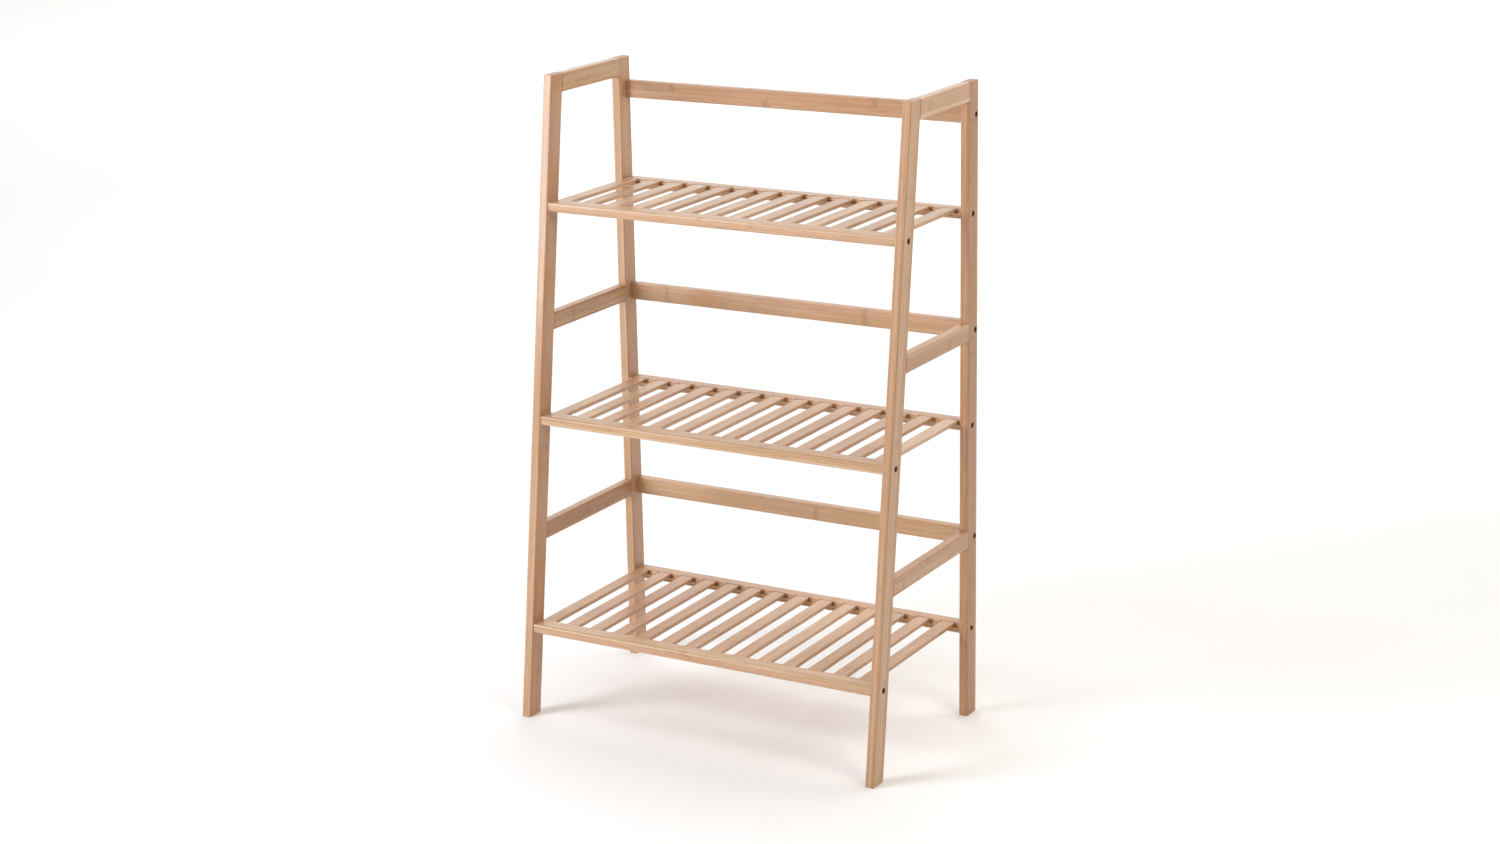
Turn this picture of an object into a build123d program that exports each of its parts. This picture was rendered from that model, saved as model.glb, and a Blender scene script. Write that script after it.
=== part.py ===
from build123d import *
import math
import os

# Three-tier bamboo shoe rack: two ladder-shaped side frames, three slatted shelves, three back rails.
#
# The side frames are glued up from boards on dowels. The shelves and back rails are held between
# them by recessed socket-head bolts that screw into threaded inserts in the rail ends.
#
# Frame: +X to the right, +Y to the back, +Z up. The origin is on the floor, at the middle of the
# footprint. All sizes are in millimetres.

# Overall size
WIDTH = 594.0
DEPTH = 334.0
HEIGHT = 950.0
TOP_DEPTH = 211.0

# Boards: every frame board and rail is sawn from the same laminated panel
BOARD = 14.0
LEG_WIDTH = 30.0
TOP_RAIL_HEIGHT = 28.0
RAIL_WIDTH = 26.0
LEG_ROUND = 2.0
RAIL_ROUND = 2.0
SHELF_RAIL_ROUND = 3.0

# Levels
TIER_NAMES = ("bottom", "middle", "top")
LOWEST_SHELF_TOP = 142.5
TIER_PITCH = 312.5
BACK_RAIL_ABOVE_SHELF = 147.0
FRONT_SETBACK = 2.0
BACK_SETBACK = 3.0

# Slats and the open housings that their ends lie in. The housings of a back rail are cut wider than
# the slats, and the spare width is to the right. Each tier's row is shifted a little sideways.
SLAT_COUNT = 14
SLAT_WIDTH = 21.5
SLAT_THICKNESS = 5.5
SLAT_PITCH = 41.0
SLAT_ROW_SHIFTS = (-5.0, 0.0, -5.0)
SLAT_ROUND = 1.5
SLAT_DROP = 0.5
SLATS_PER_NODE = 2
HOUSING_DEPTH = 6.0
HOUSING_SIDE_GAP = 0.2
HOUSING_SPARE_WIDTH = 8.0
HOUSING_END_GAP = 0.5

# Bolted joints: socket-head bolt, threaded insert, and a locating pin on the back rails
BOLT_RADIUS = 2.5
BOLT_HEAD_RADIUS = 4.25
BOLT_HEAD_HEIGHT = 5.0
BOLT_HEAD_ROUND = 0.6
BOLT_SHANK = 30.0
BOLT_TIP_CHAMFER = 0.8
BOLT_SOCKET_ACROSS_FLATS = 4.0
BOLT_SOCKET_DEPTH = 2.5
BOLT_RECESS = 6.0
BOLT_RECESS_RADIUS = 4.5
BOLT_HOLE_RADIUS = 2.7
BOLT_HOLE_DEPTH = 28.0
INSERT_RADIUS = 4.0
INSERT_BORE_RADIUS = 2.55
INSERT_LENGTH = 12.0
INSERT_INSET = 0.5
PIN_RADIUS = 2.0
PIN_OFFSET = 8.0
PIN_IN_LEG = 8.0
PIN_IN_RAIL = 12.0

# Glued joints of the side frames
DOWEL_RADIUS = 3.0
DOWEL_LENGTH = 24.0
DOWEL_SPACING = 14.0
HOLE_CLEARANCE = 0.05
HOLE_END_GAP = 1.0

# Derived sizes
OUTER_X = WIDTH / 2
INNER_X = OUTER_X - BOARD
BOARD_X = OUTER_X - BOARD / 2
BACK = DEPTH / 2
FOOT_FRONT = BACK - DEPTH
TOP_FRONT = BACK - TOP_DEPTH
BACK_LEG_FRONT = BACK - LEG_WIDTH
LEAN = math.atan2(TOP_FRONT - FOOT_FRONT, HEIGHT)
LEG_RUN = LEG_WIDTH / math.cos(LEAN)
LONG_EDGE = 5 * BOARD
SIDES = (("left", -1), ("right", 1))
TIERS = [
    (name, LOWEST_SHELF_TOP + TIER_PITCH * level) for level, name in enumerate(TIER_NAMES)
]
SLAT_XS = [SLAT_PITCH * (i - (SLAT_COUNT - 1) / 2) for i in range(SLAT_COUNT)]

os.makedirs("parts", exist_ok=True)


def front_edge(z):
    """Y of the front leg's front edge at height z."""
    return FOOT_FRONT + (TOP_FRONT - FOOT_FRONT) * z / HEIGHT


def leg_back_edge(z):
    """Y of the front leg's back edge at height z."""
    return front_edge(z) + LEG_RUN


def shelf_front(shelf_top):
    """Y of a shelf front rail's front face, set just behind the leg's front edge."""
    return front_edge(shelf_top - BOARD / 2) + FRONT_SETBACK


def long_edges(part):
    """The edges that run along a board, which are the ones rounded over."""
    return part.edges().filter_by(lambda edge: edge.length > LONG_EDGE)


def out_of_side(side, x, y, z):
    """Plane at a point, facing outwards from the left (-1) or right (+1) side of the rack."""
    return Plane(origin=(side * x, y, z), x_dir=(0, 1, 0), z_dir=(side, 0, 0))


def write(builder, name):
    """Label a finished piece and write it to its own STEP file."""
    builder.part.label = name
    export_step(builder.part, f"parts/{name}.step")


def drill_along_y(side, ys_and_zs):
    """Blind dowel holes along Y in the board of one side frame."""
    planes = [Plane(origin=(side * BOARD_X, y, z), z_dir=(0, 1, 0)) for y, z in ys_and_zs]
    with Locations(*planes):
        Cylinder(
            DOWEL_RADIUS + HOLE_CLEARANCE,
            DOWEL_LENGTH + 2 * HOLE_END_GAP,
            mode=Mode.SUBTRACT,
        )


def drill_leg(side, bolts):
    """Stepped bolt holes from the outer face, right through the leg."""
    with Locations(*[out_of_side(side, OUTER_X, y, z) for y, z in bolts]):
        CounterBoreHole(BOLT_HOLE_RADIUS, BOLT_RECESS_RADIUS, BOLT_RECESS, depth=BOARD)


def drill_from_inner_face(side, points, radius, depth, align):
    """Round holes that start at the joint between a leg's inner face and a rail's end."""
    with Locations(*[out_of_side(side, INNER_X, y, z) for y, z in points]):
        Cylinder(
            radius,
            depth,
            align=(Align.CENTER, Align.CENTER, align),
            mode=Mode.SUBTRACT,
        )


def drill_rail_ends(bolts):
    """Insert seat and bolt clearance in both ends of a rail."""
    for _, side in SIDES:
        drill_from_inner_face(side, bolts, INSERT_RADIUS, INSERT_INSET + INSERT_LENGTH, Align.MAX)
        drill_from_inner_face(side, bolts, BOLT_HOLE_RADIUS, BOLT_HOLE_DEPTH, Align.MAX)


def housing(slat_x, inner_y, spare_width):
    """Open-topped pocket for one slat end, cut into the inner edge of a shelf rail."""
    with Locations((slat_x + spare_width / 2, inner_y)):
        Rectangle(SLAT_WIDTH + 2 * HOUSING_SIDE_GAP + spare_width, 2 * HOUSING_DEPTH)


# Joint positions. Each bolt is (y, z); each glued joint is (y of the joint line, z of its middle).
shelf_bolts_front = [(shelf_front(top) + RAIL_WIDTH / 2, top - BOARD / 2) for _, top in TIERS]
shelf_bolts_back = [
    (BACK - BACK_SETBACK - RAIL_WIDTH / 2, top - BOARD / 2) for _, top in TIERS
]
back_rail_tops = [top + BACK_RAIL_ABOVE_SHELF for _, top in TIERS]
back_rail_bolts = [(BACK - BOARD / 2, top - RAIL_WIDTH / 2) for top in back_rail_tops]
front_leg_bolts = shelf_bolts_front
back_leg_bolts = shelf_bolts_back + back_rail_bolts
pin_points = [(y, z - PIN_OFFSET) for y, z in back_rail_bolts]

# Side rails: (name, top, height). The two lower ones line up with the back rails.
side_rails = [
    ("top_rail", HEIGHT, TOP_RAIL_HEIGHT),
    ("upper_side_rail", back_rail_tops[1], RAIL_WIDTH),
    ("lower_side_rail", back_rail_tops[0], RAIL_WIDTH),
]
dowel_heights = [
    top - height / 2 + offset
    for _, top, height in side_rails
    for offset in (-DOWEL_SPACING / 2, DOWEL_SPACING / 2)
]


# Side frames
for side_name, side in SIDES:
    front_joints = [(leg_back_edge(z), z) for z in dowel_heights]
    back_joints = [(BACK_LEG_FRONT, z) for z in dowel_heights]

    with BuildPart() as front_leg:
        with BuildSketch(Plane.YZ.offset(side * BOARD_X)):
            with BuildLine():
                Polyline(
                    (front_edge(0), 0),
                    (leg_back_edge(0), 0),
                    (leg_back_edge(HEIGHT), HEIGHT),
                    (front_edge(HEIGHT), HEIGHT),
                    close=True,
                )
            make_face()
        extrude(amount=BOARD / 2, both=True)
        fillet(long_edges(front_leg), LEG_ROUND)
        drill_leg(side, front_leg_bolts)
        drill_along_y(side, front_joints)
    write(front_leg, f"{side_name}_front_leg")

    with BuildPart() as back_leg:
        with BuildSketch(Plane.YZ.offset(side * BOARD_X)):
            with Locations((BACK - LEG_WIDTH / 2, HEIGHT / 2)):
                Rectangle(LEG_WIDTH, HEIGHT)
        extrude(amount=BOARD / 2, both=True)
        fillet(long_edges(back_leg), LEG_ROUND)
        drill_leg(side, back_leg_bolts)
        drill_along_y(side, back_joints)
        drill_from_inner_face(side, pin_points, PIN_RADIUS, PIN_IN_LEG + HOLE_END_GAP, Align.MIN)
    write(back_leg, f"{side_name}_back_leg")

    for rail_name, top, height in side_rails:
        bottom = top - height
        with BuildPart() as side_rail:
            with BuildSketch(Plane.YZ.offset(side * BOARD_X)):
                with BuildLine():
                    Polyline(
                        (leg_back_edge(bottom), bottom),
                        (BACK_LEG_FRONT, bottom),
                        (BACK_LEG_FRONT, top),
                        (leg_back_edge(top), top),
                        close=True,
                    )
                make_face()
            extrude(amount=BOARD / 2, both=True)
            fillet(long_edges(side_rail), RAIL_ROUND)
            drill_along_y(side, [joint for joint in front_joints if bottom < joint[1] < top])
            drill_along_y(side, [joint for joint in back_joints if bottom < joint[1] < top])
        write(side_rail, f"{side_name}_{rail_name}")

    with BuildPart() as frame_dowels:
        for y, z in front_joints + back_joints:
            with Locations(Plane(origin=(side * BOARD_X, y, z), z_dir=(0, 1, 0))):
                Cylinder(DOWEL_RADIUS, DOWEL_LENGTH)
    write(frame_dowels, f"{side_name}_frame_dowels")


# Back rails, standing on edge and flush with the backs of the legs
for (tier, _), top, bolt, pin in zip(TIERS, back_rail_tops, back_rail_bolts, pin_points):
    with BuildPart() as back_rail:
        with BuildSketch(Plane.YZ):
            with Locations((BACK - BOARD / 2, top - RAIL_WIDTH / 2)):
                Rectangle(BOARD, RAIL_WIDTH)
        extrude(amount=INNER_X, both=True)
        fillet(long_edges(back_rail), RAIL_ROUND)
        drill_rail_ends([bolt])
        for _, side in SIDES:
            drill_from_inner_face(side, [pin], PIN_RADIUS, PIN_IN_RAIL + HOLE_END_GAP, Align.MAX)
    write(back_rail, f"{tier}_back_rail")

# Shelves: a front and a back rail lying flat, with slats let into open housings between them
for (tier, top), front_bolt, back_bolt, shift in zip(
    TIERS, shelf_bolts_front, shelf_bolts_back, SLAT_ROW_SHIFTS
):
    slat_bottom = top - SLAT_DROP - SLAT_THICKNESS
    slat_xs = [x + shift for x in SLAT_XS]
    front_rail_inner = front_bolt[0] + RAIL_WIDTH / 2
    back_rail_inner = back_bolt[0] - RAIL_WIDTH / 2
    rails = [
        ("front", front_bolt, front_rail_inner, 0.0),
        ("back", back_bolt, back_rail_inner, HOUSING_SPARE_WIDTH),
    ]
    for place, bolt, inner_y, spare_width in rails:
        with BuildPart() as shelf_rail:
            with BuildSketch(Plane.YZ):
                with Locations(bolt):
                    Rectangle(RAIL_WIDTH, BOARD)
            extrude(amount=INNER_X, both=True)
            fillet(long_edges(shelf_rail), SHELF_RAIL_ROUND)
            with BuildSketch(Plane.XY.offset(slat_bottom)):
                for x in slat_xs:
                    housing(x, inner_y, spare_width)
            extrude(amount=top - slat_bottom, mode=Mode.SUBTRACT)
            drill_rail_ends([bolt])
        write(shelf_rail, f"{tier}_shelf_{place}_rail")

    slat_front = front_rail_inner - HOUSING_DEPTH + HOUSING_END_GAP
    slat_back = back_rail_inner + HOUSING_DEPTH - HOUSING_END_GAP
    slat_middle_z = slat_bottom + SLAT_THICKNESS / 2
    for first in range(0, SLAT_COUNT, SLATS_PER_NODE):
        last = first + SLATS_PER_NODE
        with BuildPart() as slats:
            with BuildSketch(Plane.XZ.offset(-slat_front)):
                with Locations(*[(x, slat_middle_z) for x in slat_xs[first:last]]):
                    RectangleRounded(SLAT_WIDTH, SLAT_THICKNESS, SLAT_ROUND)
            extrude(amount=slat_front - slat_back)
        write(slats, f"{tier}_shelf_slats_{first + 1}_{last}")

# Fasteners: one of each is made, then copied to every joint on both sides
with BuildPart() as bolt:
    with BuildSketch():
        Circle(BOLT_HEAD_RADIUS)
    extrude(amount=-BOLT_HEAD_HEIGHT)
    fillet(bolt.faces().sort_by(Axis.Z)[-1].edges(), BOLT_HEAD_ROUND)
    with BuildSketch():
        RegularPolygon(BOLT_SOCKET_ACROSS_FLATS / 2, 6, major_radius=False)
    extrude(amount=-BOLT_SOCKET_DEPTH, mode=Mode.SUBTRACT)
    with BuildSketch(Plane.XY.offset(-BOLT_HEAD_HEIGHT)):
        Circle(BOLT_RADIUS)
    extrude(amount=-BOLT_SHANK)
    chamfer(bolt.faces().sort_by(Axis.Z)[0].edges(), BOLT_TIP_CHAMFER)

with BuildPart() as insert:
    with BuildSketch():
        Circle(INSERT_RADIUS)
        Circle(INSERT_BORE_RADIUS, mode=Mode.SUBTRACT)
    extrude(amount=-INSERT_LENGTH)

with BuildPart() as pin:
    with BuildSketch(Plane.XY.offset(-PIN_IN_RAIL)):
        Circle(PIN_RADIUS)
    extrude(amount=PIN_IN_RAIL + PIN_IN_LEG)

bolt_points = front_leg_bolts + back_leg_bolts
bolt_head_x = OUTER_X - BOLT_RECESS + BOLT_HEAD_HEIGHT
groups = [
    ("frame_bolts", bolt, bolt_head_x, bolt_points),
    ("rail_end_inserts", insert, INNER_X - INSERT_INSET, bolt_points),
    ("back_rail_pins", pin, INNER_X, pin_points),
]
for name, piece, x, points in groups:
    with BuildPart() as group:
        with Locations(*[out_of_side(side, x, y, z) for _, side in SIDES for y, z in points]):
            add(piece.part)
    write(group, name)
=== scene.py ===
import math

import bmesh
import bpy
from bpy.props import FloatProperty, FloatVectorProperty, PointerProperty
from mathutils import Matrix, Vector


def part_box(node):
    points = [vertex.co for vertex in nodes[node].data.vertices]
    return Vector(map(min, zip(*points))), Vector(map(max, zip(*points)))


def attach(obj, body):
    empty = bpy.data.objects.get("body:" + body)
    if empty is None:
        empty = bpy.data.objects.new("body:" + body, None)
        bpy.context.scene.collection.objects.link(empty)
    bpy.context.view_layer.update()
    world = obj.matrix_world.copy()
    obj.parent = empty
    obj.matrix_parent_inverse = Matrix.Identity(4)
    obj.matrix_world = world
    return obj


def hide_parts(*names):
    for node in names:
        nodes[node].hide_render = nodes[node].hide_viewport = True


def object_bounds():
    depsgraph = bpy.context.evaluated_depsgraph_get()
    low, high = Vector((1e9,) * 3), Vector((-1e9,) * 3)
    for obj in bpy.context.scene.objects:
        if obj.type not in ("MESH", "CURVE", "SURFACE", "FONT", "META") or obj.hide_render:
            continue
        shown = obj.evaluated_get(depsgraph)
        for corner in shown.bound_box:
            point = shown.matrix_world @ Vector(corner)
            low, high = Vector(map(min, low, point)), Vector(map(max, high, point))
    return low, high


bl_info = {
    "name": "Tiered bamboo shoe rack",
    "version": (1, 0, 0),
    "blender": (4, 5, 0),
    "location": "3D View > Sidebar > Shoe Rack",
    "description": "Finishes the boards, slats and fasteners of a bolted bamboo shoe rack",
    "category": "Object",
}

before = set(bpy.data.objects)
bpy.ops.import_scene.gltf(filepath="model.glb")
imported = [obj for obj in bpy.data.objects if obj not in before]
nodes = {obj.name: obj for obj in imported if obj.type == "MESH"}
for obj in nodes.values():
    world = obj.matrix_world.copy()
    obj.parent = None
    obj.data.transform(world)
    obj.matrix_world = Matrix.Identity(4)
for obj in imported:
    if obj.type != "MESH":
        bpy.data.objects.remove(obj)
cad_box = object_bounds()

MM = 0.001
RIGHT = Vector((1, 0, 0))
BACKWARD = Vector((0, 1, 0))
UP = Vector((0, 0, 1))
SIDES = ("left", "right")
TIERS = ("bottom", "middle", "top")
RAIL_KINDS = ("shelf_front_rail", "shelf_back_rail", "back_rail")

# Each number is the power that a board's colour is raised to, and a board that isn't here keeps its
# colour. They were picked from how far each board's measured tone was off on the lit rack,
# so they hold both how boards differ and how the lights below fall on them. Under other lights they
# need setting again.
# Part of each power is the board's own tone and part is painted light and shade, which lightens or
# darkens a whole board for how the lamps fall on it.
BOARD_TONE_AND_PAINTED_LIGHT = {
    "left_back_leg": 0.95,
    "right_back_leg": 1.22,
    "left_top_rail": 0.90,
    "right_top_rail": 0.84,
    "left_upper_side_rail": 1.10,
    "left_lower_side_rail": 1.12,
    "right_upper_side_rail": 1.05,
    "right_lower_side_rail": 1.10,
    "top_back_rail": 1.05,
    "bottom_back_rail": 0.87,
    "bottom_shelf_front_rail": 0.94,
    "middle_shelf_front_rail": 0.96,
    "top_shelf_front_rail": 0.95,
    "bottom_shelf_back_rail": 1.10,
    "middle_shelf_back_rail": 1.05,
}


def linear(hex_colour):
    """An sRGB hex colour as the linear red, green, blue and alpha that shaders work in."""
    channels = [int(hex_colour[i : i + 2], 16) / 255 for i in (1, 3, 5)]
    return (*[c / 12.92 if c <= 0.04045 else ((c + 0.055) / 1.055) ** 2.4 for c in channels], 1.0)


def colour_property(name, description, hex_colour):
    """A colour that the sidebar can change."""
    return FloatVectorProperty(
        name=name,
        description=description,
        subtype="COLOR",
        size=4,
        min=0.0,
        max=1.0,
        default=linear(hex_colour),
    )


def length_property(name, description, millimetres):
    """A length that the sidebar can change."""
    return FloatProperty(
        name=name,
        description=description,
        unit="LENGTH",
        min=0.0,
        precision=4,
        default=millimetres * MM,
    )


# ---------------------------------------------------------------------------------------------
# Settings
# ---------------------------------------------------------------------------------------------


class BambooSettings(bpy.types.PropertyGroup):
    """Colours and strip sizes of the bamboo."""

    pale: colour_property("Pale strip", "Strips from the inside of the stem", "#CDAC8A")
    tan: colour_property("Tan strip", "Strips from nearer the skin of the stem", "#B28A62")
    reddish: colour_property("Reddish strip", "Strips that took more heat when dried", "#B58464")
    bundle: colour_property("Fibre bundles", "Fine dark dashes along the grain", "#956539")
    knuckle: colour_property("Knuckle", "Band where a leaf grew round the stem", "#8A6040")
    glue: colour_property("Glue line", "Joint between two strips", "#957049")
    strip_width: length_property("Strip width", "Width of one strip in a board", 19)
    ply_thickness: length_property("Ply thickness", "Thickness of one layer of a board", 5)
    slat_width: length_property("Slat width", "Width of one shelf slat", 21.5)
    knuckle_spacing: length_property("Knuckle spacing", "Length from knuckle to knuckle", 340)


class FastenerSettings(bpy.types.PropertyGroup):
    """Sizes of the bolts that hold the rails."""

    head_radius: length_property("Head radius", "Radius of a bolt's head", 4.25)
    head_height: length_property("Head height", "Height of a bolt's head", 5)
    socket_width: length_property("Socket width", "Across the flats of the socket", 4)
    socket_depth: length_property("Socket depth", "Depth of the socket", 2.5)
    shank_radius: length_property("Shank radius", "Radius over the thread", 2.5)
    thread_pitch: length_property("Thread pitch", "Length of one turn of thread", 0.8)
    length: length_property("Length", "Whole length of a bolt", 35)


class StageSettings(bpy.types.PropertyGroup):
    """Floor, lights and camera."""

    floor: colour_property("Floor", "Pale matt floor", "#F6F6F6")
    room: colour_property("Room", "Even light from the whole room", "#FFFBF4")
    room_strength: FloatProperty(
        name="Room strength", description="Brightness of the room's even light", default=0.22, min=0
    )
    backdrop_strength: FloatProperty(
        name="Backdrop strength",
        description="Brightness added by the lit white wall behind the rack",
        default=0.42,
        min=0,
    )
    camera_azimuth: FloatProperty(
        name="Camera azimuth",
        description="Turn of the camera to the right of straight ahead",
        subtype="ANGLE",
        default=math.radians(30.06),
    )
    camera_elevation: FloatProperty(
        name="Camera elevation",
        description="Height angle of the camera above the horizon",
        subtype="ANGLE",
        default=math.radians(15.95),
    )
    camera_roll: FloatProperty(
        name="Camera roll",
        description="Lean of the camera about its own line of sight",
        subtype="ANGLE",
        default=math.radians(-1.07),
    )
    camera_distance: length_property("Camera distance", "From the camera to its target", 4038)
    camera_lens: FloatProperty(
        name="Lens", description="Focal length on a 36 mm sensor", unit="CAMERA", default=66.62
    )
    aim: FloatVectorProperty(
        name="Aim",
        description="Camera target, from the middle of the rack's box",
        subtype="TRANSLATION",
        unit="LENGTH",
        default=(0.0112, 0.0007, -0.0197),
    )


# ---------------------------------------------------------------------------------------------
# Shared helpers
# ---------------------------------------------------------------------------------------------


def add_node(tree, kind, inputs=None, **options):
    """Add a shader node with its options, then set its inputs or link the nodes that feed them."""
    node = tree.nodes.new(kind)
    node.location.x = 180 * len(tree.nodes)
    for name, value in options.items():
        setattr(node, name, value)
    for socket, value in (inputs or {}).items():
        if isinstance(value, bpy.types.Node):
            value = next(output for output in value.outputs if output.enabled)
        if isinstance(value, bpy.types.NodeSocket):
            tree.links.new(value, node.inputs[socket])
        else:
            node.inputs[socket].default_value = value
    return node


def new_material(name):
    """A node material with no nodes in it yet."""
    material = bpy.data.materials.new(name)
    material.use_nodes = True
    material.node_tree.nodes.clear()
    return material


def middle_of(name):
    """Middle of a part's box."""
    low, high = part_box(name)
    return (low + high) / 2


def dress(node_name, material):
    """Give a carried-over part its finish."""
    mesh = nodes[node_name].data
    mesh.materials.clear()
    mesh.materials.append(material)


# ---------------------------------------------------------------------------------------------
# Bamboo
# ---------------------------------------------------------------------------------------------

# How far strips and streaks move a board's tone from pale to tan. The offset brings the average
# to about the middle.
STRIP_CONTRAST = 0.95
BROAD_STREAK_CONTRAST = 2.1
FINE_STREAK_CONTRAST = 1.7
TONE_OFFSET = -1.77

# How much of its own colour each mark lays over the strip
WARMTH_SHARE = 0.6
BUNDLE_SHARE = 0.45
BAND_SHARE = 0.28
SCAR_SHARE = 0.32
GLUE_SHARE = 0.45
SAWN_END_SHARE = 0.45

# Half widths of the marks in millimetres: where each is full, and where it has faded out
GLUE_LINE_FADE = (0.1, 0.6)
SCAR_FADE = (0.6, 2.2)
BAND_FADE = (1.5, 9)

# How far a knuckle strays along the grain in millimetres, and how quickly, per millimetre
KNUCKLE_STRAY = 5
STRAY_SCALE = 0.16

# Length along the grain and width of each kind of streak in millimetres, and its noise detail
STREAKS = {"fine": (45, 0.9, 2), "broad": (180, 4.5, 2), "bundles": (16, 0.55, 1)}
BUNDLE_THRESHOLD = (0.58, 0.72)

# How far apart two strips take their streaks from the same noise, in millimetres
STREAK_SPREAD = (900, 90, 90)

# How nearly a face looks along the grain before it counts as a sawn end, as a cosine
SAWN_END_FACING = (0.75, 0.9)

# Relief of the marks in millimetres, up from the board's face
FIBRE_RELIEF = 0.03
BUNDLE_RELIEF = -0.015
SCAR_RELIEF = 0.05
GLUE_RELIEF = -0.04

# Roughness of the lacquer, and what rough fibres and sawn ends add to it
LACQUER_ROUGHNESS = 0.36
FIBRE_ROUGHNESS = 0.16
SAWN_END_ROUGHNESS = 0.2

# How strongly knuckles show on each kind of board
LEG_KNUCKLES = 0.4
SLAT_KNUCKLES = 0.5
RAIL_KNUCKLES = 0.6
BACK_RAIL_KNUCKLES = 1.0


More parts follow.
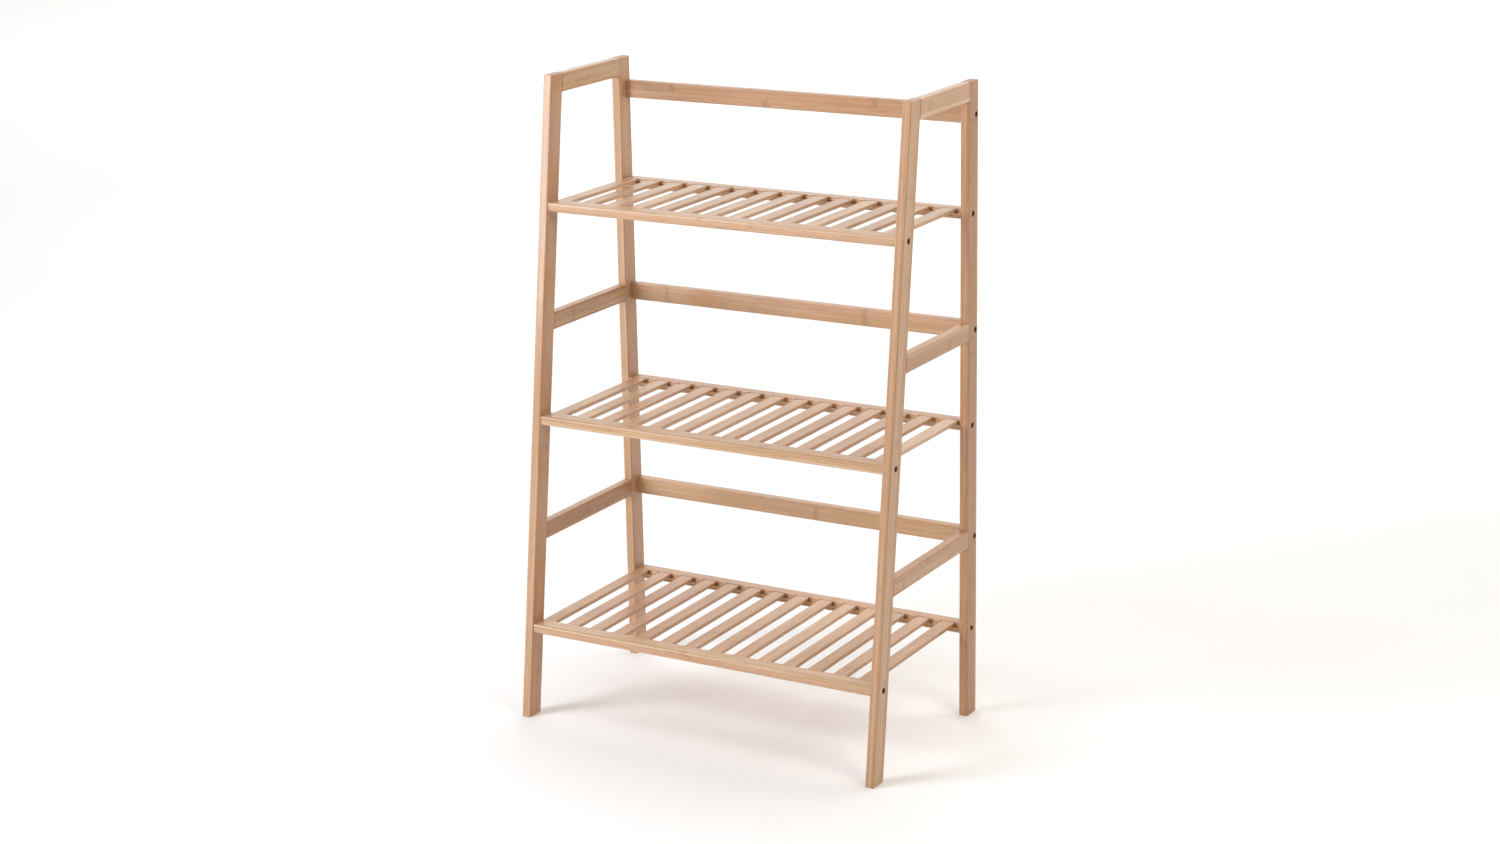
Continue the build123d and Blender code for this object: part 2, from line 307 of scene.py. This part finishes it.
def bamboo_pattern(look):
    """Node group that draws laminated bamboo at a place given in millimetres.

    X runs along the grain, Y across a strip and Z through the plies. Each strip of each ply has
    its own tone, knuckles and fibres, so a board's wide faces show strips and its edges plies.
    """
    tree = bpy.data.node_groups.new("bamboo_pattern", "ShaderNodeTree")
    sockets = [
        ("Place", "INPUT", "NodeSocketVector"),
        ("Grain", "INPUT", "NodeSocketVector"),
        ("Seed", "INPUT", "NodeSocketFloat"),
        ("Strip Width", "INPUT", "NodeSocketFloat"),
        ("Ply Thickness", "INPUT", "NodeSocketFloat"),
        ("Stagger", "INPUT", "NodeSocketFloat"),
        ("Knuckle Strength", "INPUT", "NodeSocketFloat"),
        ("Shade", "INPUT", "NodeSocketFloat"),
        ("Color", "OUTPUT", "NodeSocketColor"),
        ("Roughness", "OUTPUT", "NodeSocketFloat"),
        ("Height", "OUTPUT", "NodeSocketFloat"),
    ]
    for name, direction, kind in sockets:
        tree.interface.new_socket(name, in_out=direction, socket_type=kind)
    given = tree.nodes.new("NodeGroupInput").outputs
    place = add_node(tree, "ShaderNodeSeparateXYZ", {0: given["Place"]}).outputs
    along, across, through = place["X"], place["Y"], place["Z"]

    # Which ply and which strip of it, and how far the nearest glue line is
    ply_place = add_node(
        tree, "ShaderNodeMath", {0: through, 1: given["Ply Thickness"]}, operation="DIVIDE"
    )
    ply_place = add_node(tree, "ShaderNodeMath", {0: ply_place, 1: 0.5}, operation="ADD")
    ply = add_node(tree, "ShaderNodeMath", {0: ply_place}, operation="FLOOR")
    ply_key = add_node(tree, "ShaderNodeCombineXYZ", {0: ply, 1: given["Seed"]})
    ply_random = add_node(
        tree, "ShaderNodeTexWhiteNoise", {"Vector": ply_key}, noise_dimensions="2D"
    )
    strip_start = add_node(
        tree,
        "ShaderNodeMath",
        {0: ply_random.outputs["Value"], 1: given["Stagger"]},
        operation="MULTIPLY",
    )
    strip_place = add_node(
        tree, "ShaderNodeMath", {0: across, 1: given["Strip Width"]}, operation="DIVIDE"
    )
    strip_place = add_node(
        tree, "ShaderNodeMath", {0: strip_place, 1: strip_start}, operation="ADD"
    )
    strip = add_node(tree, "ShaderNodeMath", {0: strip_place}, operation="FLOOR")
    strip_key = add_node(tree, "ShaderNodeCombineXYZ", {0: strip, 1: ply, 2: given["Seed"]})
    strip_random = add_node(
        tree, "ShaderNodeTexWhiteNoise", {"Vector": strip_key}, noise_dimensions="3D"
    )
    traits = add_node(tree, "ShaderNodeSeparateColor", {0: strip_random.outputs["Color"]}).outputs
    strip_tone, knuckle_phase, warmth = traits["Red"], traits["Green"], traits["Blue"]

    glue_gaps = []
    for position, width in (
        (strip_place, given["Strip Width"]),
        (ply_place, given["Ply Thickness"]),
    ):
        from_joint = add_node(
            tree, "ShaderNodeMath", {0: position, 1: 0.5}, operation="PINGPONG"
        )
        glue_gaps.append(
            add_node(tree, "ShaderNodeMath", {0: from_joint, 1: width}, operation="MULTIPLY")
        )
    glue_gap = add_node(
        tree, "ShaderNodeMath", {0: glue_gaps[0], 1: glue_gaps[1]}, operation="MINIMUM"
    )
    glue_line = add_node(
        tree,
        "ShaderNodeMapRange",
        {
            "Value": glue_gap,
            "From Min": GLUE_LINE_FADE[0],
            "From Max": GLUE_LINE_FADE[1],
            "To Min": 1,
            "To Max": 0,
        },
        interpolation_type="SMOOTHSTEP",
    )

    # Knuckles: a thin dark scar with a soft brown band beside it, slightly wavy across the strip
    spread = add_node(
        tree,
        "ShaderNodeVectorMath",
        {0: strip_random.outputs["Color"], 1: STREAK_SPREAD},
        operation="MULTIPLY",
    )
    shifted = add_node(
        tree, "ShaderNodeVectorMath", {0: given["Place"], 1: spread}, operation="ADD"
    )
    waviness = add_node(
        tree,
        "ShaderNodeTexNoise",
        {"Vector": shifted, "Scale": STRAY_SCALE, "Detail": 1},
    )
    wave = add_node(
        tree,
        "ShaderNodeMapRange",
        {"Value": waviness.outputs[0], "To Min": -KNUCKLE_STRAY, "To Max": KNUCKLE_STRAY},
    )
    wavy_along = add_node(tree, "ShaderNodeMath", {0: along, 1: wave}, operation="ADD")
    spacing = look.knuckle_spacing / MM
    knuckle_place = add_node(
        tree,
        "ShaderNodeMath",
        {0: wavy_along, 1: 1 / spacing, 2: knuckle_phase},
        operation="MULTIPLY_ADD",
    )
    fraction = add_node(
        tree, "ShaderNodeMath", {0: knuckle_place, 1: 0, 2: 1}, operation="WRAP"
    )
    from_knuckle = add_node(
        tree,
        "ShaderNodeMath",
        {0: fraction, 1: spacing, 2: -spacing / 2},
        operation="MULTIPLY_ADD",
    )
    off_knuckle = add_node(tree, "ShaderNodeMath", {0: from_knuckle}, operation="ABSOLUTE")
    knuckle_marks = []
    for full, faded in (SCAR_FADE, BAND_FADE):
        mark = add_node(
            tree,
            "ShaderNodeMapRange",
            {
                "Value": off_knuckle,
                "From Min": full,
                "From Max": faded,
                "To Min": 1,
                "To Max": 0,
            },
            interpolation_type="SMOOTHSTEP",
        )
        knuckle_marks.append(
            add_node(
                tree,
                "ShaderNodeMath",
                {0: mark, 1: given["Knuckle Strength"]},
                operation="MULTIPLY",
            )
        )
    scar, band = knuckle_marks

    # Fibres: streaks far longer than they are wide, so they end as dots on a sawn end
    streaks = {}
    for name, (length, width, detail) in STREAKS.items():
        stretched = add_node(
            tree,
            "ShaderNodeVectorMath",
            {0: shifted, 1: (1 / length, 1 / width, 1 / width)},
            operation="MULTIPLY",
        )
        streaks[name] = add_node(
            tree, "ShaderNodeTexNoise", {"Vector": stretched, "Scale": 1, "Detail": detail}
        ).outputs[0]
    bundle_mark = add_node(
        tree,
        "ShaderNodeMapRange",
        {
            "Value": streaks["bundles"],
            "From Min": BUNDLE_THRESHOLD[0],
            "From Max": BUNDLE_THRESHOLD[1],
        },
        interpolation_type="SMOOTHSTEP",
    )

    # Sawn ends drink more lacquer and look darker
    surface = add_node(tree, "ShaderNodeNewGeometry")
    facing = add_node(
        tree,
        "ShaderNodeVectorMath",
        {0: surface.outputs["Normal"], 1: given["Grain"]},
        operation="DOT_PRODUCT",
    )
    facing = add_node(
        tree, "ShaderNodeMath", {0: facing.outputs["Value"]}, operation="ABSOLUTE"
    )
    sawn_end = add_node(
        tree,
        "ShaderNodeMapRange",
        {"Value": facing, "From Min": SAWN_END_FACING[0], "From Max": SAWN_END_FACING[1]},
        interpolation_type="SMOOTHSTEP",
    )

    # Colour, from the broadest difference to the finest mark
    tone = TONE_OFFSET
    for feature, contrast in (
        (strip_tone, STRIP_CONTRAST),
        (streaks["broad"], BROAD_STREAK_CONTRAST),
        (streaks["fine"], FINE_STREAK_CONTRAST),
    ):
        tone = add_node(
            tree, "ShaderNodeMath", {0: feature, 1: contrast, 2: tone}, operation="MULTIPLY_ADD"
        )
    colour = add_node(
        tree,
        "ShaderNodeMix",
        {"Factor": tone, 6: tuple(look.pale), 7: tuple(look.tan)},
        data_type="RGBA",
    )
    for share, factor, tint in (
        (WARMTH_SHARE, warmth, look.reddish),
        (BUNDLE_SHARE, bundle_mark, look.bundle),
        (BAND_SHARE, band, look.knuckle),
        (SCAR_SHARE, scar, look.knuckle),
        (GLUE_SHARE, glue_line, look.glue),
        (SAWN_END_SHARE, sawn_end, look.bundle),
    ):
        amount = add_node(tree, "ShaderNodeMath", {0: factor, 1: share}, operation="MULTIPLY")
        colour = add_node(
            tree,
            "ShaderNodeMix",
            {"Factor": amount, 6: colour, 7: tuple(tint)},
            data_type="RGBA",
        )
    # This power paints each board's own tone together with painted light and shade for how the
    # lamps fall on that board.
    colour = add_node(tree, "ShaderNodeGamma", {"Color": colour, "Gamma": given["Shade"]})

    # Surface height in millimetres and roughness
    height = 0.0
    for feature, rise in (
        (streaks["fine"], FIBRE_RELIEF),
        (bundle_mark, BUNDLE_RELIEF),
        (scar, SCAR_RELIEF),
        (glue_line, GLUE_RELIEF),
    ):
        height = add_node(
            tree, "ShaderNodeMath", {0: feature, 1: rise, 2: height}, operation="MULTIPLY_ADD"
        )
    roughness = LACQUER_ROUGHNESS
    for feature, rise in ((streaks["fine"], FIBRE_ROUGHNESS), (sawn_end, SAWN_END_ROUGHNESS)):
        roughness = add_node(
            tree, "ShaderNodeMath", {0: feature, 1: rise, 2: roughness}, operation="MULTIPLY_ADD"
        )
    add_node(
        tree,
        "NodeGroupOutput",
        {"Color": colour, "Roughness": roughness, "Height": height},
    )
    return tree


def bamboo(name, along, across, strip_width, ply_thickness, stagger, knuckles):
    """Laminated bamboo, planed, sanded and given a clear satin lacquer.

    The strips give each board long bands of slightly different tan, with a brown knuckle now and
    then. The lacquer gives a soft, fairly clear reflection that grows at a low angle. Stagger is
    how far the strips of one ply may be shifted from those of the next, in strip widths.
    """
    look = bpy.context.scene.rack_bamboo
    pattern = bpy.data.node_groups.get("bamboo_pattern") or bamboo_pattern(look)
    material = new_material(f"laminated_bamboo_{name}")
    tree = material.node_tree
    turn = Matrix((along, across, along.cross(across))).transposed().to_euler()
    in_space = add_node(tree, "ShaderNodeTexCoord").outputs["Object"]
    place = add_node(
        tree,
        "ShaderNodeMapping",
        {
            "Vector": in_space,
            "Location": middle_of(name),
            "Rotation": turn,
            "Scale": (MM, MM, MM),
        },
        vector_type="TEXTURE",
    )
    drawn = tree.nodes.new("ShaderNodeGroup")
    drawn.node_tree = pattern
    tree.links.new(place.outputs[0], drawn.inputs["Place"])
    for socket, value in (
        ("Grain", along),
        ("Seed", sorted(nodes).index(name) + 1),
        ("Strip Width", strip_width / MM),
        ("Ply Thickness", ply_thickness / MM),
        ("Stagger", stagger),
        ("Knuckle Strength", knuckles),
        ("Shade", BOARD_TONE_AND_PAINTED_LIGHT.get(name, 1.0)),
    ):
        drawn.inputs[socket].default_value = value
    relief = add_node(
        tree,
        "ShaderNodeBump",
        {"Height": drawn.outputs["Height"], "Strength": 1, "Distance": MM},
    )
    shader = add_node(
        tree,
        "ShaderNodeBsdfPrincipled",
        {
            "Base Color": drawn.outputs["Color"],
            "Roughness": drawn.outputs["Roughness"],
            "Normal": relief,
            "IOR": 1.5,
            "Specular IOR Level": 0.25,
            "Coat Weight": 0.5,
            "Coat Roughness": 0.16,
            "Coat IOR": 1.5,
        },
    )
    add_node(tree, "ShaderNodeOutputMaterial", {"Surface": shader})
    return material


def dress_boards(names, along, across, knuckles):
    """Finish boards that share a grain direction. Across points over the width of the strips."""
    look = bpy.context.scene.rack_bamboo
    for name in names:
        material = bamboo(
            name, along, across, look.strip_width, look.ply_thickness, 1.0, knuckles
        )
        dress(name, material)


class RACK_OT_finish_legs(bpy.types.Operator):
    """Finish the four legs, with the grain along each leg"""

    bl_idname = "rack.finish_legs"
    bl_label = "Legs"

    def execute(self, context):
        low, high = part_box("left_back_leg")
        leg_width = high.y - low.y
        for side in SIDES:
            low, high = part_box(f"{side}_front_leg")
            lean = math.atan2(high.y - low.y - leg_width, high.z - low.z)
            along = Vector((0, math.sin(lean), math.cos(lean)))
            across = Vector((0, math.cos(lean), -math.sin(lean)))
            dress_boards([f"{side}_front_leg"], along, across, LEG_KNUCKLES)
            dress_boards([f"{side}_back_leg"], UP, BACKWARD, LEG_KNUCKLES)
        return {"FINISHED"}


class RACK_OT_finish_side_rails(bpy.types.Operator):
    """Finish the rails that join a front leg to a back leg"""

    bl_idname = "rack.finish_side_rails"
    bl_label = "Side rails"

    def execute(self, context):
        rails = ("top_rail", "upper_side_rail", "lower_side_rail")
        names = [f"{side}_{rail}" for side in SIDES for rail in rails]
        dress_boards(names, BACKWARD, UP, RAIL_KNUCKLES)
        return {"FINISHED"}


class RACK_OT_finish_back_rails(bpy.types.Operator):
    """Finish the upright rails across the back"""

    bl_idname = "rack.finish_back_rails"
    bl_label = "Back rails"

    def execute(self, context):
        names = [f"{tier}_back_rail" for tier in TIERS]
        dress_boards(names, RIGHT, UP, BACK_RAIL_KNUCKLES)
        return {"FINISHED"}


class RACK_OT_finish_shelf_rails(bpy.types.Operator):
    """Finish the flat rails along the front and back of each shelf"""

    bl_idname = "rack.finish_shelf_rails"
    bl_label = "Shelf rails"

    def execute(self, context):
        places = ("front", "back")
        names = [f"{tier}_shelf_{place}_rail" for tier in TIERS for place in places]
        dress_boards(names, RIGHT, BACKWARD, RAIL_KNUCKLES)
        return {"FINISHED"}


class RACK_OT_finish_slats(bpy.types.Operator):
    """Finish the slats, each a single strip of bamboo"""

    bl_idname = "rack.finish_slats"
    bl_label = "Slats"

    def execute(self, context):
        slat_width = context.scene.rack_bamboo.slat_width
        names = [name for name in sorted(nodes) if "_slats_" in name]
        for name in names:
            # Strips as wide as the slats' pitch give each slat of a pair one strip, and a ply far
            # thicker than the slat leaves no glue line in it
            low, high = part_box(name)
            slat_pitch = high.x - low.x - slat_width
            single_ply = 4 * (high.z - low.z)
            dress(name, bamboo(name, BACKWARD, RIGHT, slat_pitch, single_ply, 0.0, SLAT_KNUCKLES))
        return {"FINISHED"}


# ---------------------------------------------------------------------------------------------
# Fasteners
# ---------------------------------------------------------------------------------------------

RING_SEGMENTS = 48
SOCKET_SIDES = 6

# The rounded rim of a bolt's head: how far in from its side and down from its face each ring lies
RIM_ROUND = ((0.9 * MM, 0.0), (0.25 * MM, 0.2 * MM), (0.0, 0.7 * MM))
HEAD_CHAMFER = 0.3 * MM
SOCKET_CHAMFER = 0.3 * MM
SOCKET_TAPER = 0.98

# The neck between head and thread, and the thread's depth and the length it leaves plain
NECK_FILLET = 0.1 * MM
NECK_LENGTH = 0.5 * MM
THREAD_START = 1.5 * MM
THREAD_DEPTH = 0.45 * MM
PLAIN_LENGTH = 3 * MM
TIP_CHAMFER = 0.8 * MM


def plated_steel(name, hex_tint, roughness):
    """Turned or rolled steel with an electroplated coat, handled a little.

    Fine rings from the lathe catch the light, and dark oily patches dull it here and there.
    """
    ring_scale = 900  # a ring each 0.35 mm
    patch_scale = 260  # patches about 4 mm across
    ring_depth = 0.02 * MM
    material = new_material(name)
    tree = material.node_tree
    in_space = add_node(tree, "ShaderNodeTexCoord").outputs["Object"]
    rings = add_node(
        tree,
        "ShaderNodeTexWave",
        {
            "Vector": in_space,
            "Scale": ring_scale,
            "Distortion": 1.5,
            "Detail": 2,
            "Detail Scale": 2,
        },
        bands_direction="X",
    )
    patches = add_node(
        tree, "ShaderNodeTexNoise", {"Vector": in_space, "Scale": patch_scale, "Detail": 4}
    )
    colour = add_node(
        tree,
        "ShaderNodeMix",
        {"Factor": patches.outputs[0], 6: linear("#160E08"), 7: linear(hex_tint)},
        data_type="RGBA",
    )
    dullness = add_node(
        tree,
        "ShaderNodeMapRange",
        {"Value": patches.outputs[0], "To Min": roughness + 0.12, "To Max": roughness - 0.06},
    )
    relief = add_node(
        tree,
        "ShaderNodeBump",
        {"Height": rings.outputs["Fac"], "Strength": 0.4, "Distance": ring_depth},
    )
    shader = add_node(
        tree,
        "ShaderNodeBsdfPrincipled",
        {"Base Color": colour, "Metallic": 1.0, "Roughness": dullness, "Normal": relief},
    )
    add_node(tree, "ShaderNodeOutputMaterial", {"Surface": shader})
    return material


def turned_beech(name, grain):
    """Turned beech, left bare, with short brown flecks along the grain."""
    fleck_length, fleck_width, fleck_depth = 5 * MM, 0.4 * MM, 0.05 * MM
    material = new_material(name)
    tree = material.node_tree
    in_space = add_node(tree, "ShaderNodeTexCoord").outputs["Object"]
    stretch = [1 / (fleck_length if part else fleck_width) for part in grain]
    stretched = add_node(
        tree, "ShaderNodeVectorMath", {0: in_space, 1: stretch}, operation="MULTIPLY"
    )
    flecks = add_node(tree, "ShaderNodeTexNoise", {"Vector": stretched, "Scale": 1, "Detail": 3})
    colour = add_node(
        tree,
        "ShaderNodeMix",
        {"Factor": flecks.outputs[0], 6: linear("#DDBE93"), 7: linear("#B68B5E")},
        data_type="RGBA",
    )
    relief = add_node(
        tree,
        "ShaderNodeBump",
        {"Height": flecks.outputs[0], "Strength": 0.5, "Distance": fleck_depth},
    )
    shader = add_node(
        tree,
        "ShaderNodeBsdfPrincipled",
        {"Base Color": colour, "Roughness": 0.65, "Normal": relief},
    )
    add_node(tree, "ShaderNodeOutputMaterial", {"Surface": shader})
    return material


def add_ring(work, radius, height, corners=0):
    """A ring of points round the bolt's axis, round or with that many flat sides."""
    made = bmesh.ops.create_circle(
        work, cap_ends=False, radius=1, segments=RING_SEGMENTS
    )["verts"]
    for vert in made:
        angle = math.atan2(vert.co.y, vert.co.x)
        reach = radius
        if corners:
            half_side = math.pi / corners
            reach = radius / math.cos((angle % (2 * half_side)) - half_side)
        vert.co = Vector((reach * math.cos(angle), reach * math.sin(angle), height))
    return [edge for edge in work.edges if edge.verts[0] in made and edge.verts[1] in made]


def socket_bolt(length):
    """Socket-head bolt with its head's outer face at the origin and its shank down the Z axis.

    The six-sided socket, the rounded rim of the head, the neck under it and the rolled thread
    are all rings round one axis, from the socket's floor outwards and down to the tip. Each ring
    has a radius, a height and a number of sides, which is 0 for a round one.
    """
    look = bpy.context.scene.rack_fasteners
    head = look.head_radius
    underside = -look.head_height
    socket = look.socket_width / 2
    shank = look.shank_radius
    rings = [
        (socket * SOCKET_TAPER, -look.socket_depth, SOCKET_SIDES),
        (socket, -SOCKET_CHAMFER, SOCKET_SIDES),
        (socket + SOCKET_CHAMFER, 0.0, SOCKET_SIDES),
    ]
    rings += [(head - inwards, -down, 0) for inwards, down in RIM_ROUND]
    rings += [
        (head, underside + HEAD_CHAMFER, 0),
        (head - HEAD_CHAMFER, underside, 0),
        (shank + NECK_FILLET, underside, 0),
        (shank - NECK_FILLET, underside - NECK_LENGTH, 0),
    ]
    turns = int((length + underside - PLAIN_LENGTH) / look.thread_pitch)
    for turn in range(turns):
        root = underside - THREAD_START - turn * look.thread_pitch
        rings.append((shank - THREAD_DEPTH, root, 0))
        rings.append((shank, root - look.thread_pitch / 2, 0))
    rings.append((shank - TIP_CHAMFER, -length, 0))

    work = bmesh.new()
    above = add_ring(work, *rings[0])
    bmesh.ops.contextual_create(work, geom=above)
    for ring in rings[1:]:
        below = add_ring(work, *ring)
        bmesh.ops.bridge_loops(work, edges=above + below)
        above = below
    bmesh.ops.contextual_create(work, geom=above)
    bmesh.ops.recalc_face_normals(work, faces=work.faces)
    return work


class RACK_OT_add_bolts(bpy.types.Operator):
    """Put a socket-head bolt in every recess in the legs"""

    bl_idname = "rack.add_bolts"
    bl_label = "Bolts"

    def execute(self, context):
        look = context.scene.rack_fasteners
        low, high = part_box("frame_bolts")
        steel = plated_steel("bronze_plated_bolt_steel", "#4A3222", 0.42)
        rails = [f"{tier}_{rail}" for tier in TIERS for rail in RAIL_KINDS]
        for side, head_x, turn in (("left", low.x, -1), ("right", high.x, 1)):
            facing = Matrix.Rotation(turn * math.pi / 2, 4, "Y")
            for rail in rails:
                joint = middle_of(rail)
                work = socket_bolt(look.length)
                place = Matrix.Translation((head_x, joint.y, joint.z)) @ facing
                bmesh.ops.transform(work, matrix=place, verts=work.verts)
                mesh = bpy.data.meshes.new(f"{side}_{rail}_bolt")
                work.to_mesh(mesh)
                work.free()
                mesh.materials.append(steel)
                bolt = bpy.data.objects.new(mesh.name, mesh)
                context.scene.collection.objects.link(bolt)
                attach(bolt, "root")
                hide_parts("frame_bolts")
        return {"FINISHED"}


class RACK_OT_finish_hidden_fasteners(bpy.types.Operator):
    """Finish the inserts, pins and dowels inside the joints"""

    bl_idname = "rack.finish_hidden_fasteners"
    bl_label = "Inserts, pins and dowels"

    def execute(self, context):
        dress("rail_end_inserts", plated_steel("zinc_plated_insert", "#B9B4A8", 0.38))
        dress("back_rail_pins", turned_beech("turned_beech_pin", RIGHT))
        beech = turned_beech("turned_beech_dowel", BACKWARD)
        for side in SIDES:
            dress(f"{side}_frame_dowels", beech)
        return {"FINISHED"}


# ---------------------------------------------------------------------------------------------
# Stage
# ---------------------------------------------------------------------------------------------

# How far the floor runs each way, and how far the camera sees, in metres
FLOOR_REACH = 20
CAMERA_REACH = 60

# Y of a direction in the room where the lit wall behind the rack starts, and where it is full
BACKDROP_EDGE = (-0.1, 0.6)


def softbox(name, position, target, width, height, power, hex_tint="#FFFFFF"):
    """A flat rectangular studio light, unseen by the camera. Sizes in metres, power in watts."""
    light = bpy.data.lights.new(name, "AREA")
    light.shape = "RECTANGLE"
    light.size = width
    light.size_y = height
    light.energy = power
    light.color = linear(hex_tint)[:3]
    lamp = bpy.data.objects.new(name, light)
    lamp.location = position
    lamp.rotation_euler = (Vector(target) - Vector(position)).to_track_quat("-Z", "Y").to_euler()
    lamp.visible_camera = False
    bpy.context.scene.collection.objects.link(lamp)
    return lamp


def white_paper(colour):
    """Matt white paper sweep, with a faint unevenness that keeps the floor from looking drawn."""
    material = new_material("white_paper_sweep")
    tree = material.node_tree
    in_space = add_node(tree, "ShaderNodeTexCoord").outputs["Object"]
    mottle_scale = 2  # patches about half a metre across
    mottle = add_node(
        tree, "ShaderNodeTexNoise", {"Vector": in_space, "Scale": mottle_scale, "Detail": 3}
    )
    tint = add_node(
        tree,
        "ShaderNodeMapRange",
        {"Value": mottle.outputs[0], "To Min": 0.985, "To Max": 1.0},
    )
    shade = add_node(
        tree,
        "ShaderNodeVectorMath",
        {0: tuple(colour)[:3], "Scale": tint},
        operation="SCALE",
    )
    shader = add_node(
        tree,
        "ShaderNodeBsdfPrincipled",
        {"Base Color": shade, "Roughness": 0.9, "Specular IOR Level": 0.1},
    )
    add_node(tree, "ShaderNodeOutputMaterial", {"Surface": shader})
    return material


def lay_floor(stage):
    """A large sheet of white paper on the floor."""
    sheet = bmesh.new()
    bmesh.ops.create_grid(sheet, x_segments=8, y_segments=8, size=FLOOR_REACH)
    mesh = bpy.data.meshes.new("studio_floor")
    sheet.to_mesh(mesh)
    sheet.free()
    mesh.materials.append(white_paper(stage.floor))
    floor = bpy.data.objects.new("studio_floor", mesh)
    bpy.context.scene.collection.objects.link(floor)


def light_room(stage):
    """Even light from the whole room, and more from the lit white wall behind the rack."""
    world = bpy.data.worlds.new("studio_room")
    world.use_nodes = True
    tree = world.node_tree
    tree.nodes.clear()
    direction = add_node(tree, "ShaderNodeTexCoord").outputs["Generated"]
    direction = add_node(tree, "ShaderNodeSeparateXYZ", {0: direction})
    strength = add_node(
        tree,
        "ShaderNodeMapRange",
        {
            "Value": direction.outputs["Y"],
            "From Min": BACKDROP_EDGE[0],
            "From Max": BACKDROP_EDGE[1],
            "To Min": stage.room_strength,
            "To Max": stage.room_strength + stage.backdrop_strength,
        },
        interpolation_type="SMOOTHSTEP",
    )
    room = add_node(
        tree, "ShaderNodeBackground", {"Color": tuple(stage.room), "Strength": strength}
    )
    add_node(tree, "ShaderNodeOutputWorld", {"Surface": room})
    bpy.context.scene.world = world


def set_softboxes():
    """A key light from the front left, weak fills round the rack, and washes over the floor."""
    low, high = cad_box
    middle = (low + high) / 2
    rim_height = Vector((0, 0, high.z))
    softbox("key_softbox", (-2.4, -2.7, 1.6), middle, 1.6, 2.2, 129, "#F0F6FF")
    softbox("top_softbox", (0.0, -0.2, 3.2), middle, 2.4, 2.4, 5)
    softbox("right_softbox", (3.4, -0.8, 1.6), middle, 1.2, 2.0, 3, "#FFF4E6")
    softbox("upper_right_softbox", (1.5, -0.5, 1.9), rim_height, 0.7, 0.7, 11, "#FFF4E6")
    softbox("back_left_softbox", (-2.2, 3.4, 1.4), middle, 1.8, 1.8, 5)
    softbox("back_floor_wash", (-1.0, 6.5, 5.5), (-1.0, 6.5, 0.0), 16, 8, 700)
    softbox("front_floor_wash", (0.0, -8.5, 5.5), (0.0, -8.5, 0.0), 18, 8, 320)


def set_camera(stage):
    """A camera on a sphere round its target, leaning a little about its line of sight."""
    low, high = cad_box
    target = (low + high) / 2 + Vector(stage.aim)
    line_of_sight = Vector(
        (
            -math.sin(stage.camera_azimuth) * math.cos(stage.camera_elevation),
            math.cos(stage.camera_azimuth) * math.cos(stage.camera_elevation),
            -math.sin(stage.camera_elevation),
        )
    )
    level = Vector((math.cos(stage.camera_azimuth), math.sin(stage.camera_azimuth), 0))
    level = Matrix.Rotation(-stage.camera_roll, 3, line_of_sight) @ level
    view_up = level.cross(line_of_sight)
    data = bpy.data.cameras.new("studio_camera")
    data.lens = stage.camera_lens
    data.clip_end = CAMERA_REACH
    camera = bpy.data.objects.new("studio_camera", data)
    camera.rotation_euler = Matrix((level, view_up, -line_of_sight)).transposed().to_euler()
    camera.location = target - line_of_sight * stage.camera_distance
    bpy.context.scene.collection.objects.link(camera)
    bpy.context.scene.camera = camera


class RACK_OT_set_stage(bpy.types.Operator):
    """Lay the floor and set the lights and the camera"""

    bl_idname = "rack.set_stage"
    bl_label = "Stage"

    def execute(self, context):
        stage = context.scene.rack_stage
        lay_floor(stage)
        light_room(stage)
        set_softboxes()
        set_camera(stage)
        context.scene.view_settings.view_transform = "Standard"
        return {"FINISHED"}


# ---------------------------------------------------------------------------------------------
# Add-on
# ---------------------------------------------------------------------------------------------

OPERATORS = (
    RACK_OT_finish_legs,
    RACK_OT_finish_side_rails,
    RACK_OT_finish_back_rails,
    RACK_OT_finish_shelf_rails,
    RACK_OT_finish_slats,
    RACK_OT_add_bolts,
    RACK_OT_finish_hidden_fasteners,
    RACK_OT_set_stage,
)
SETTINGS = {
    "rack_bamboo": BambooSettings,
    "rack_fasteners": FastenerSettings,
    "rack_stage": StageSettings,
}


class RACK_PT_sidebar(bpy.types.Panel):
    """Buttons and settings of the shoe rack"""

    bl_label = "Shoe Rack"
    bl_idname = "RACK_PT_sidebar"
    bl_space_type = "VIEW_3D"
    bl_region_type = "UI"
    bl_category = "Shoe Rack"

    def draw(self, context):
        for operator in OPERATORS:
            self.layout.operator(operator.bl_idname)
        for name, settings in SETTINGS.items():
            box = self.layout.box()
            for field in settings.__annotations__:
                box.prop(getattr(context.scene, name), field)


def register():
    for cls in (*SETTINGS.values(), *OPERATORS, RACK_PT_sidebar):
        bpy.utils.register_class(cls)
    for name, settings in SETTINGS.items():
        setattr(bpy.types.Scene, name, PointerProperty(type=settings))


def unregister():
    for name in SETTINGS:
        delattr(bpy.types.Scene, name)
    for cls in reversed((*SETTINGS.values(), *OPERATORS, RACK_PT_sidebar)):
        bpy.utils.unregister_class(cls)


def main():
    register()
    for operator in OPERATORS:
        group, name = operator.bl_idname.split(".")
        getattr(getattr(bpy.ops, group), name)()


if __name__ == "__main__":
    main()
